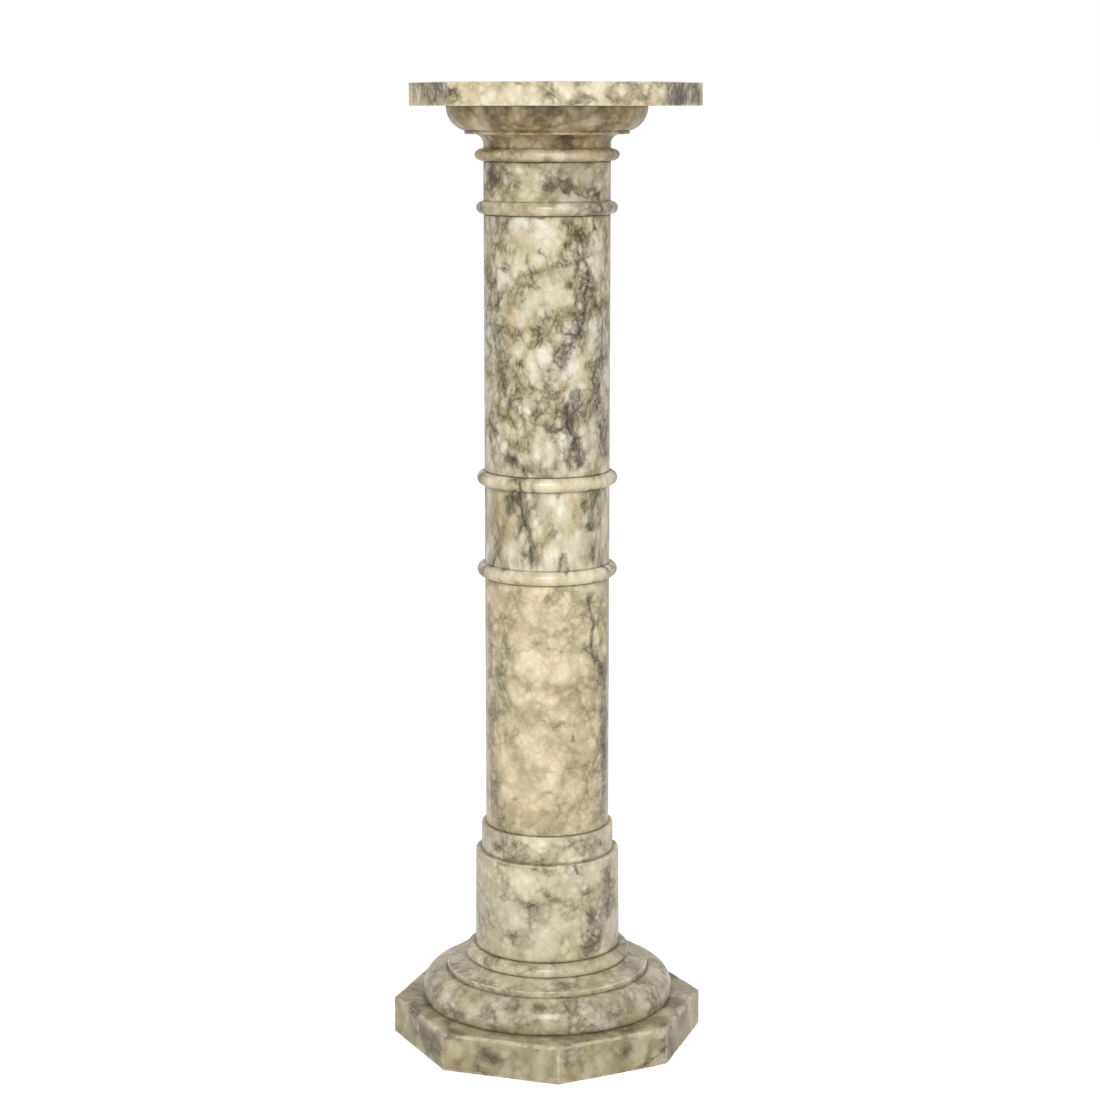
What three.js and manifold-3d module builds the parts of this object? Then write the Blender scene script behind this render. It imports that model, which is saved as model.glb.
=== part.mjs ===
// A turned marble pedestal: nine stones stacked with hairline bed joints, from an eight-sided
// plinth, through a column of drums and turned mouldings, to an eight-sided top slab.
// The floor is at z = 0, the column's axis is x = y = 0 and the front looks along -y.
import * as THREE from 'three';
import { mergeVertices } from 'three/addons/utils/BufferGeometryUtils.js';
import Module from 'manifold-3d';

const wasm = await Module();
wasm.setup();

// Driving dimensions in millimetres, angles in degrees

// Column
const bedJoint = 0.3; // the gap that every bed between two stones keeps
const shaftRadius = 67.9;
const lowerShaftHeight = 277;
const upperShaftHeight = 275.3;

// Middle band: a drum between two rings
const bandDrumHeight = 85.6;
const bandRingHeight = 15.1;
const bandRingReach = 8.4; // out from the shaft's face

// Necking: a drum over one ring
const neckDrumHeight = 41.6;
const neckRingHeight = 13.9;
const neckRingReach = 7.9;

// Capital, from its bed up
const capitalTorusHeight = 13.5;
const capitalTorusReach = 9.5;
const capitalNeckHeight = 4.3; // straight stretch under the cavetto
const cavettoRadius = 10.5;
const capitalFilletHeight = 3.8;
const capitalFilletInset = 1; // the fillet stands this far inside the ovolo's foot
const ovoloRadius = 26.5;
const ovoloCentreOut = 2.5; // the ovolo's centre, out from the top of the cavetto
const ovoloUndercut = 1.2; // the ovolo's arc stops this far above its own lowest point

// Top slab, a regular octagon with a corner to the front
const slabThickness = 24.2;
const slabMargin = 36.5; // from the capital's edge to the slab's flat sides
const slabShift = 9.2; // the slab sits this far to the right of the axis
const slabTurn = 0;
const slabCornerRadius = 1.2;
const slabArris = 0.8; // worn edge, top and bottom

// Socle: a wide drum, and a narrower collar that leaves a ledge around it
const collarStep = 4.8; // out from the shaft's face
const collarHeight = 30.1;
const collarArris = 1;
const ledgeStep = 6.5; // out from the collar's face
const ledgeArris = 1.8;
const socleDrumHeight = 109;
const socleTaper = 0.9; // the drum is this much wider at its foot, in radius

// Base moulding, from its bed up
const baseTorusSection = 22.6;
const baseTorusCentreHeight = 10.8;
const baseTorusInset = 4.6; // the fillet stands this far inside the section's centre
const baseFilletHeight = 7;
const scotiaRun = 27; // from the bead's foot out to the fillet's arris
const scotiaRise = 7.3;
const scotiaHollow = 1.6; // how far the slope sinks below a straight line
const beadSection = 6.2; // radius of the bead's under side
const beadRise = 8.1; // from the bead's widest line up to the socle
const beadStandOff = 4.9; // centre of the under side, out from the foot of the socle

// Plinth, a regular octagon turned so that a corner stands a little right of the front
const plinthHeight = 41.8;
const plinthMargin = 19.8; // from the torus to the plinth's flat sides
const plinthTurn = 4;
const plinthCornerRadius = 3.5;
const plinthArris = 1.8; // worn edge, top and bottom

// Breaks in the plinth, on the corner that stands to the right of the front one
const breakCorner = 1; // counted to the right from the front corner
const flakeWidth = 17; // flake off the foot of that corner
const flakeHeight = 12;
const flakeDepth = 3.4;
const spallWidth = 19; // shallow break on the top edge beside that corner
const spallHeight = 11;
const spallDepth = 3.2;
const pitWidth = 7; // small pit in the top edge, further along the same side
const pitDepth = 3;
const pitAlong = 40; // from the corner
const nickWidth = 9; // nick in the foot of the corner to the left of the front one
const nickDepth = 2.4;

// Fineness of the turned and the broken surfaces
const turnSegments = 48;
const arcDivisions = 3; // each arc gets twice as many straight steps
const cornerDivisions = 2;
const breakDetail = 1;
const samePlace = 0.001; // points closer than this are one

// Sizes that follow from the ones above
const collarRadius = shaftRadius + collarStep;
const socleTopRadius = collarRadius + ledgeStep;
const socleFootRadius = socleTopRadius + socleTaper;
const beadCentreRadius = socleFootRadius + beadStandOff;
const baseFilletRadius = beadCentreRadius + scotiaRun;
const baseTorusCentreRadius = baseFilletRadius + baseTorusInset;
const baseTorusRadius = baseTorusCentreRadius + baseTorusSection;
const cavettoTopRadius = shaftRadius + cavettoRadius;
const ovoloCentreRadius = cavettoTopRadius + ovoloCentreOut;
const capitalRadius = ovoloCentreRadius + ovoloRadius;
const plinthAcrossFlats = 2 * (baseTorusRadius + plinthMargin);
const slabAcrossFlats = 2 * (capitalRadius + slabMargin);

const quarterTurn = Math.PI / 2;

// A polished stone of its own tone
function stone(colour, roughness) {
  return new THREE.MeshStandardMaterial({ color: colour, roughness, metalness: 0 });
}

// The points of an outline, without the doubles where one arc runs into the next
function pointsOf(outline) {
  const points = outline.getPoints(arcDivisions);
  return points.filter((point, index) => index === 0 || point.distanceTo(points[index - 1]) > samePlace);
}

// A stone turned on the lathe: the outline is a path of (radius, height), from the middle of its
// lower bed to the middle of its upper bed
function turned(name, outline, material) {
  const geometry = new THREE.LatheGeometry(pointsOf(outline), turnSegments);
  geometry.rotateX(quarterTurn);
  const mesh = new THREE.Mesh(geometry, material);
  mesh.name = name;
  return { mesh, height: outline.currentPoint.y };
}

// An outline that has run from the middle of the lower bed out to the given radius
function outlineFromAxis(bedRadius) {
  const outline = new THREE.Path();
  outline.moveTo(0, 0);
  outline.lineTo(bedRadius, 0);
  return outline;
}

// A ring on the shaft's face, half an ellipse in section, with its lower edge at the given height
function addRing(outline, foot, height, reach) {
  outline.absellipse(shaftRadius, foot + height / 2, reach, height / 2, -quarterTurn, quarterTurn, false);
}

function drum(name, height, material) {
  const outline = outlineFromAxis(shaftRadius);
  outline.lineTo(shaftRadius, height);
  outline.lineTo(0, height);
  return turned(name, outline, material);
}

function middleBand(material) {
  const upperRingFoot = bandRingHeight + bandDrumHeight;
  const outline = outlineFromAxis(shaftRadius);
  addRing(outline, 0, bandRingHeight, bandRingReach);
  addRing(outline, upperRingFoot, bandRingHeight, bandRingReach);
  outline.lineTo(0, upperRingFoot + bandRingHeight);
  return turned('middle_band', outline, material);
}

function necking(material) {
  const height = neckRingHeight + neckDrumHeight;
  const outline = outlineFromAxis(shaftRadius);
  addRing(outline, 0, neckRingHeight, neckRingReach);
  outline.lineTo(shaftRadius, height);
  outline.lineTo(0, height);
  return turned('necking', outline, material);
}

function capital(material) {
  const cavettoFoot = capitalTorusHeight + capitalNeckHeight;
  const filletFoot = cavettoFoot + cavettoRadius;
  const ovoloFoot = filletFoot + capitalFilletHeight;
  const height = ovoloFoot + ovoloRadius - ovoloUndercut;
  const ovoloStart = -Math.asin(1 - ovoloUndercut / ovoloRadius);
  const ovoloFootRadius = ovoloCentreRadius + ovoloRadius * Math.cos(ovoloStart);
  const filletRadius = ovoloFootRadius - capitalFilletInset;
  const outline = outlineFromAxis(shaftRadius);
  addRing(outline, 0, capitalTorusHeight, capitalTorusReach);
  outline.absarc(cavettoTopRadius, cavettoFoot, cavettoRadius, Math.PI, quarterTurn, true);
  outline.lineTo(filletRadius, filletFoot);
  outline.lineTo(filletRadius, ovoloFoot);
  outline.absarc(ovoloCentreRadius, height, ovoloRadius, ovoloStart, 0, false);
  outline.lineTo(0, height);
  return turned('capital', outline, material);
}

function socle(material) {
  const height = socleDrumHeight + collarHeight;
  const arrisFoot = socleDrumHeight - ledgeArris;
  const outline = outlineFromAxis(socleFootRadius);
  outline.lineTo(socleTopRadius, arrisFoot);
  outline.lineTo(socleTopRadius - ledgeArris, socleDrumHeight);
  outline.lineTo(collarRadius, socleDrumHeight);
  outline.lineTo(collarRadius, height - collarArris);
  outline.lineTo(collarRadius - collarArris, height);
  outline.lineTo(0, height);
  return turned('socle', outline, material);
}

function baseMoulding(material) {
  const torusEnd = Math.acos(-baseTorusInset / baseTorusSection);
  const torusStart = -Math.asin(baseTorusCentreHeight / baseTorusSection);
  const filletFoot = baseTorusCentreHeight + baseTorusSection * Math.sin(torusEnd);
  const filletTop = filletFoot + baseFilletHeight;
  const beadFoot = filletTop + scotiaRise;
  const footRadius = baseTorusCentreRadius + baseTorusSection * Math.cos(torusStart);
  const outline = outlineFromAxis(footRadius);
  outline.absarc(baseTorusCentreRadius, baseTorusCentreHeight, baseTorusSection, torusStart, torusEnd, false);
  outline.lineTo(baseFilletRadius, filletTop);
  outline.quadraticCurveTo(
    beadCentreRadius + scotiaRun / 2,
    (filletTop + beadFoot) / 2 - 2 * scotiaHollow,
    beadCentreRadius,
    beadFoot,
  );
  const beadMiddle = beadFoot + beadSection;
  const beadUpperReach = beadStandOff + beadSection;
  outline.absarc(beadCentreRadius, beadMiddle, beadSection, -quarterTurn, 0, false);
  outline.absellipse(socleFootRadius, beadMiddle, beadUpperReach, beadRise, 0, quarterTurn, false);
  outline.lineTo(0, beadMiddle + beadRise);
  return turned('base_moulding', outline, material);
}

// The angle of an octagon's corner, counted to the right from the one nearest the front
function cornerAngle(index, turn) {
  return THREE.MathUtils.degToRad(-90 + turn + index * 45);
}

// The plan of an octagon with softly rounded corners
function octagonPlan(acrossFlats, cornerRadius, turn) {
  const inset = acrossFlats / 2 / Math.cos(Math.PI / 8) - cornerRadius / Math.cos(Math.PI / 8);
  const plan = new THREE.Shape();
  for (let index = 0; index < 8; index++) {
    const angle = cornerAngle(index, turn);
    const x = inset * Math.cos(angle);
    const y = inset * Math.sin(angle);
    if (index === 0) {
      const start = angle - Math.PI / 8;
      plan.moveTo(x + cornerRadius * Math.cos(start), y + cornerRadius * Math.sin(start));
    }
    plan.absarc(x, y, cornerRadius, angle - Math.PI / 8, angle + Math.PI / 8, false);
  }
  return plan;
}

// A sawn octagonal stone with worn edges, its lower face at z = 0
function octagonStone(acrossFlats, height, cornerRadius, arris, turn) {
  const geometry = new THREE.ExtrudeGeometry(octagonPlan(acrossFlats, cornerRadius, turn), {
    depth: height - 2 * arris,
    bevelEnabled: true,
    bevelThickness: arris,
    bevelSize: arris,
    bevelOffset: -arris,
    bevelSegments: 1,
    curveSegments: cornerDivisions,
  });
  geometry.translate(0, 0, arris);
  return geometry;
}

// A closed mesh as a solid for cutting, and back
function solidFrom(geometry) {
  const bare = geometry.clone();
  bare.deleteAttribute('normal');
  bare.deleteAttribute('uv');
  const merged = mergeVertices(bare);
  return new wasm.Manifold(new wasm.Mesh({
    numProp: 3,
    vertProperties: new Float32Array(merged.attributes.position.array),
    triVerts: new Uint32Array(merged.index.array),
  }));
}

function geometryFrom(solid) {
  const cut = solid.getMesh();
  const geometry = new THREE.BufferGeometry();
  geometry.setAttribute('position', new THREE.BufferAttribute(new Float32Array(cut.vertProperties), 3));
  geometry.setIndex(new THREE.BufferAttribute(new Uint32Array(cut.triVerts), 1));
  geometry.computeVertexNormals();
  return geometry;
}

// The rounded tool that leaves a shell-shaped break: along the side, into the stone, and upright
function breakTool(along, into, upright, place, facing) {
  const geometry = new THREE.IcosahedronGeometry(1, breakDetail);
  geometry.scale(into, along, upright);
  geometry.rotateZ(facing);
  geometry.translate(place.x, place.y, place.z);
  return solidFrom(geometry);
}

// A point on the plinth's side, to the left of the break corner, and the way that side faces
function onBrokenSide(fromCorner, z) {
  const facing = cornerAngle(breakCorner - 0.5, plinthTurn);
  const half = plinthAcrossFlats / 2;
  const across = half * Math.tan(Math.PI / 8) - fromCorner;
  const x = half * Math.cos(facing) - across * Math.sin(facing);
  const y = half * Math.sin(facing) + across * Math.cos(facing);
  return { place: new THREE.Vector3(x, y, z), facing };
}

function plinth(material) {
  const whole = octagonStone(plinthAcrossFlats, plinthHeight, plinthCornerRadius, plinthArris, plinthTurn);
  const flake = onBrokenSide(0, 0);
  const spall = onBrokenSide(spallWidth / 2, plinthHeight);
  const pit = onBrokenSide(pitAlong, plinthHeight);
  const nickAngle = cornerAngle(-1, plinthTurn);
  const nickReach = plinthAcrossFlats / 2 / Math.cos(Math.PI / 8);
  const nickPlace = new THREE.Vector3(nickReach * Math.cos(nickAngle), nickReach * Math.sin(nickAngle), 0);
  const broken = solidFrom(whole)
    .subtract(breakTool(flakeWidth, flakeDepth, flakeHeight, flake.place, flake.facing))
    .subtract(breakTool(spallWidth / 2, spallDepth, spallHeight, spall.place, spall.facing))
    .subtract(breakTool(pitWidth / 2, pitDepth, pitDepth, pit.place, pit.facing))
    .subtract(breakTool(nickWidth / 2, nickDepth, nickDepth, nickPlace, nickAngle));
  const mesh = new THREE.Mesh(geometryFrom(broken), material);
  mesh.name = 'plinth';
  return { mesh, height: plinthHeight };
}

function topSlab(material) {
  const geometry = octagonStone(slabAcrossFlats, slabThickness, slabCornerRadius, slabArris, slabTurn);
  const mesh = new THREE.Mesh(geometry, material);
  mesh.name = 'top_slab';
  mesh.position.x = slabShift;
  return { mesh, height: slabThickness };
}

// The stones from the floor up, each on the bed of the one below
const stones = [
  plinth(stone(0xa69c82, 0.45)),
  baseMoulding(stone(0xa59b83, 0.3)),
  socle(stone(0xc0b7a0, 0.25)),
  drum('lower_shaft', lowerShaftHeight, stone(0xc9bb9b, 0.25)),
  middleBand(stone(0xc0b496, 0.25)),
  drum('upper_shaft', upperShaftHeight, stone(0xb7ad95, 0.25)),
  necking(stone(0xb0a58d, 0.25)),
  capital(stone(0xa59472, 0.3)),
  topSlab(stone(0xd6caab, 0.3)),
];

const pedestal = new THREE.Group();
let bed = 0;
for (const { mesh, height } of stones) {
  mesh.position.z = bed;
  pedestal.add(mesh);
  bed += height + bedJoint;
}

export default pedestal;
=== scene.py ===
# Marble pedestal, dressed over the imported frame: nine turned and sawn stones on one axis.
# A stone is shaped in millimetres, and its mesh goes into metres when it is finished.
import math
from functools import partial

import bmesh
import bpy
from mathutils import Matrix, Vector, noise


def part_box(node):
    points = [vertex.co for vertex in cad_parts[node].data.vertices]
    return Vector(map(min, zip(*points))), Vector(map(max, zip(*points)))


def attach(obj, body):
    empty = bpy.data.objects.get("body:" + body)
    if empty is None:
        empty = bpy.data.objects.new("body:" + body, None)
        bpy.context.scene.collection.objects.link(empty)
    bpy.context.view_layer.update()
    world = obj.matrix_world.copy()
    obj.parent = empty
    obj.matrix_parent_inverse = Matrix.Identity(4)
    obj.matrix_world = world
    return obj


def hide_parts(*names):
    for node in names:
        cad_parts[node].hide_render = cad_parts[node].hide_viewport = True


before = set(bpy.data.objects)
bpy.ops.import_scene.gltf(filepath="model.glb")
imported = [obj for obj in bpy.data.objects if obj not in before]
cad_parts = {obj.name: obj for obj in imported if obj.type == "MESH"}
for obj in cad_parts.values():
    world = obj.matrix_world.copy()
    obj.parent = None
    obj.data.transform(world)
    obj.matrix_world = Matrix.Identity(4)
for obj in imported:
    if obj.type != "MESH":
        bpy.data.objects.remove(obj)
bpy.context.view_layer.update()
print("frame loaded:", len(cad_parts), "stones")

mm = 0.001  # metres


def linear(hexColour):
    # an sRGB hex colour as linear red, green, blue and alpha
    shares = [int(hexColour[i:i + 2], 16) / 255 for i in (1, 3, 5)]
    return [s / 12.92 if s <= 0.04045 else ((s + 0.055) / 1.055) ** 2.4 for s in shares] + [1.0]


def addNode(tree, kind, inputs=(), out=0, **settings):
    # adds a node with its settings, sets or links its inputs, which are listed in order or given by name
    # or number, and gives back one of its outputs; a hex colour goes in as a linear one
    node = tree.nodes.new("ShaderNode" + kind)
    for name, value in settings.items():
        setattr(node, name, value)
    if not isinstance(inputs, dict):
        inputs = dict(enumerate(inputs))
    for socket, value in inputs.items():
        if isinstance(value, bpy.types.NodeSocket):
            tree.links.new(value, node.inputs[socket])
        else:
            node.inputs[socket].default_value = linear(value) if isinstance(value, str) else value
    return node.outputs[out] if node.outputs else node


# Studio: pale floor, one big softbox high behind the camera, even white light all round
studio = {
    "cameraPlace": (0.0031, -2.7135, 1.0234),
    "cameraTilt": 80.06,  # degrees up from straight down
    "lens": 82.53,  # mm, on a square frame of 36 mm
    "frameSide": 36,
    "softboxPlace": (-0.1, -4.2, 3.1),
    "softboxAim": (0, 0, 0.6),
    "softboxSize": (2.0, 2.4),
    "softboxPower": 125.0,
    "floorColour": "#F2F1EE",
    "floorReach": 80.0,
    "floorRoughness": 0.9,
    "floorGloss": 0.1,
    "floorLift": 0.55,
    "skyAbove": 0.62,
    "skyBelow": 0.35,
    "skyBlend": (-0.5, 0.6),  # from the light below to the light above, as height on a ball of radius 1
}


def setStudio():
    scene = bpy.context.scene
    scene.view_settings.view_transform = "Standard"
    scene.view_settings.look = "None"

    lens = bpy.data.cameras.new("photo_camera")
    lens.sensor_fit = "HORIZONTAL"
    lens.sensor_width = studio["frameSide"]
    lens.lens = studio["lens"]
    camera = bpy.data.objects.new("photo_camera", lens)
    camera.location = studio["cameraPlace"]
    camera.rotation_euler = (math.radians(studio["cameraTilt"]), 0, 0)
    scene.collection.objects.link(camera)
    scene.camera = camera

    lamp = bpy.data.lights.new("softbox", "AREA")
    lamp.shape = "RECTANGLE"
    lamp.size, lamp.size_y = studio["softboxSize"]
    lamp.energy = studio["softboxPower"]
    softbox = bpy.data.objects.new("softbox", lamp)
    softbox.location = studio["softboxPlace"]
    facing = Vector(studio["softboxAim"]) - Vector(studio["softboxPlace"])
    softbox.visible_camera = False
    softbox.rotation_euler = facing.to_track_quat("-Z", "Y").to_euler()
    scene.collection.objects.link(softbox)

    # white behind the object for the eye, and a soft sky that is dimmer below the horizon for the light
    world = bpy.data.worlds.new("studio_air")
    world.use_nodes = True
    scene.world = world
    world.node_tree.nodes.clear()
    add = partial(addNode, world.node_tree)
    direction = add("TexCoord", out="Generated")
    height = add("SeparateXYZ", [direction], out="Z")
    glow = add("MapRange", [height, *studio["skyBlend"], studio["skyBelow"], studio["skyAbove"]])
    seen = add("LightPath", out="Is Camera Ray")
    strength = add("Mix", {0: seen, 2: glow, 3: 1.0})
    air = add("Background", {"Color": "#FFFFFF", "Strength": strength})
    add("OutputWorld", {"Surface": air})

    shape = bmesh.new()
    bmesh.ops.create_grid(shape, x_segments=1, y_segments=1, size=studio["floorReach"])
    mesh = bpy.data.meshes.new("floor")
    shape.to_mesh(mesh)
    shape.free()
    floor = bpy.data.objects.new("floor", mesh)
    scene.collection.objects.link(floor)

    # flat paint: even, no gloss; lifted to the eye alone, so that the far floor runs into the white air
    paint = bpy.data.materials.new("floor_matt_white_paint")
    paint.use_nodes = True
    paint.node_tree.nodes.clear()
    add = partial(addNode, paint.node_tree)
    seen = add("LightPath", out="Is Camera Ray")
    shader = add(
        "BsdfPrincipled",
        {
            "Base Color": studio["floorColour"],
            "Roughness": studio["floorRoughness"],
            "Specular IOR Level": studio["floorGloss"],
            "Emission Color": "#FFFFFF",
            "Emission Strength": add("Math", [seen, studio["floorLift"]], operation="MULTIPLY"),
        },
    )
    add("OutputMaterial", {"Surface": shader})
    mesh.materials.append(paint)
    print("studio set")


# Marble: cream and tan stone with paler rounded clots, a fine dark net between them, soft grey clouds
# and veins. It is sawn or turned, ground and polished: clear soft gloss, a little light sinking in, dull
# soil with painted shade in the creases and under the slab, and pale arrises, partly rubbed wear and partly
# painted highlight. Sizes in mm; each stone changes what differs.
marble = {
    "cream": "#F6EFDC",
    "tan": "#BDB08E",
    "grey": "#DEDFE6",  # what the grey clouds leave of the stone's colour
    "mist": "#A3A099",  # what the soft grey round the net leaves of it
    "dark": "#6A6864",  # what the net itself leaves
    "stain": "#EADBAF",  # what an amber stain leaves
    "pale": "#F4EAD0",
    # soil with painted shade: dull brown laid in the creases where parts meet, under rings and under the slab
    "soilAndShade": "#5E4F31",
    "soilAndShadeReach": 2.0,
    "soilAndShadeShare": 0.75,
    "soilRoughness": 0.6,
    "turn": (0, 0, 0),  # degrees: how the block was turned before it was cut
    "shift": (0, 0, 0),
    "stretch": (1, 1, 1),  # under 1 draws the pattern out that way
    "drift": ((34, 7), (11, 2.2)),  # how the bed of the stone is stirred: size of the swirl, how far
    "waver": ((4.5, 1.3), (2.0, 0.5)),  # the same for the lines
    "fray": ((16, 4), (5, 2.2), (2.2, 0.9)),  # the same for the marks and veins
    "clot": 21,  # across a pale clot
    "cell": 9,  # across a small clot
    "seams": ((21, 2.8, 0.9), (9, 1.6, 0.6)),  # across the cells, half thickness, strength
    "cracks": ((16, 3.6, 0.6),),  # size of the branching, thickness, strength
    "crumb": 9,
    "speck": 3.6,
    "grain": 1.8,  # coarser than the real crystals, so that it shows
    "cloud": 62,  # across a grey cloud
    "knot": 27,  # across a dark knot
    "warmth": 0.55,  # share of cream against tan
    "clotShare": 1.3,  # how much paler the clots are
    "cloudShare": 1.2,  # how much the clouds change that
    "crumbShare": 0.3,  # how much the crumb, the specks and the grain roughen it all
    "speckShare": 0.16,
    "grainShare": 0.16,
    "greyShare": 0.5,
    "netShare": 0.43,  # how far the dark has spread, and how much that changes from place to place
    "netSpread": 0.42,
    "netClear": 0.8,  # how far the clots stay clear of it
    "markShare": 0.6,
    "paleShare": 0.75,
    "paleClear": 0.45,  # how far the pale marks stay clear of the dark
    "lineShare": 1.0,  # how dark the lines are in the knots, and away from them
    "lineLeast": 0.1,
    "mistShare": 0.9,
    "coreShare": 0.9,
    "roughness": 0.2,
    "veins": (),
    "patches": (),
    "pales": (),
    "stains": (),
    "creases": (),
    # pale arrises, partly rubbed wear and partly painted highlight: which rings, how far, how much
    "rubbedHighlight": (),
    "rubbedHighlightReach": 2.2,
    "rubbedHighlightShare": 0.6,
    "broken": False,
    "frontRadius": 68,
}

softStep = {"interpolation_type": "SMOOTHSTEP"}
markEdge = (1.3, 0.2)  # where a mark begins and where it is full, in half widths from its middle
hazeReach = 5  # the haze beside a vein, in widths of its thread
hazeShare = 0.65  # and how strong it is against the thread


def markField(add, place, marks, radius):
    # how strongly the marks cover a point of the face: (across, up, half width, half height, strength)
    field = 0.0
    for across, up, wide, high, strength in marks:
        depth = math.sqrt(max(radius ** 2 - across ** 2, 1))
        offset = (-across / wide, -depth / wide, -up / high)
        scale = (1 / wide, 1 / wide, 1 / high)
        near = add("Mapping", {"Vector": place, "Location": offset, "Scale": scale})
        away = add("VectorMath", [near], out="Value", operation="LENGTH")
        mark = add("MapRange", [away, *markEdge, 0.0, strength], **softStep)
        field = add("Math", [field, mark])
    return field


def setCurve(socket, points):
    # a float curve through the given points, both ways 0 to 1
    mapping = socket.node.mapping
    curve = mapping.curves[0]
    for point, place in zip(curve.points, (points[0], points[-1])):
        point.location = place
    for place in points[1:-1]:
        curve.points.new(*place)
    mapping.update()


def veinField(add, across, up, veins):
    # each vein is a sheet that runs back into the stone: its path is (across, up) from the top down
    # gives back the dark thread of the veins, and the wider band in which they gather the net
    threads = 0.0
    band = 0.0
    for path, wide, strength in veins:
        top, foot = path[0][1], path[-1][1]
        left = min(x for x, z in path)
        spread = max(max(x for x, z in path) - left, 1)
        along = add("MapRange", [up, top, foot])
        course = add("FloatCurve", {"Value": along})
        setCurve(course, [((top - z) / (top - foot), (x - left) / spread) for x, z in path])
        fade = add("FloatCurve", {"Value": along})
        setCurve(fade, [(0, 0), (0.09, 1), (0.91, 1), (1, 0)])
        middle = add("Math", [course, spread, left], operation="MULTIPLY_ADD")
        away = add("Math", [across, middle], operation="SUBTRACT")
        away = add("Math", [away], operation="ABSOLUTE")
        thread, haze = (
            add("MapRange", [away, reach, 0.0, 0.0, most], **softStep)
            for reach, most in ((wide, strength), (wide * hazeReach, strength * hazeShare))
        )
        thread = add("Math", [thread, fade], operation="MULTIPLY")
        haze = add("Math", [haze, fade], operation="MULTIPLY")
        threads = add("Math", [threads, thread], operation="MAXIMUM")
        band = add("Math", [band, haze], operation="MAXIMUM")
    return [threads, band]


def ringField(add, place, rings, reach):
    # 1 on any of the rings (radius, height), falling to 0 at the given distance from it
    x, y, z = add("SeparateXYZ", [place]).node.outputs
    flat = add("CombineXYZ", [x, y])
    out = add("VectorMath", [flat], out="Value", operation="LENGTH")
    section = add("CombineXYZ", {0: out, 2: z})
    nearest = 1000.0
    for radius, height in rings:
        away = add("VectorMath", [section, (radius, 0, height)], out="Value", operation="DISTANCE")
        nearest = add("Math", [nearest, away], operation="MINIMUM")
    return add("MapRange", [nearest, reach, 0.0], **softStep)


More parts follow.
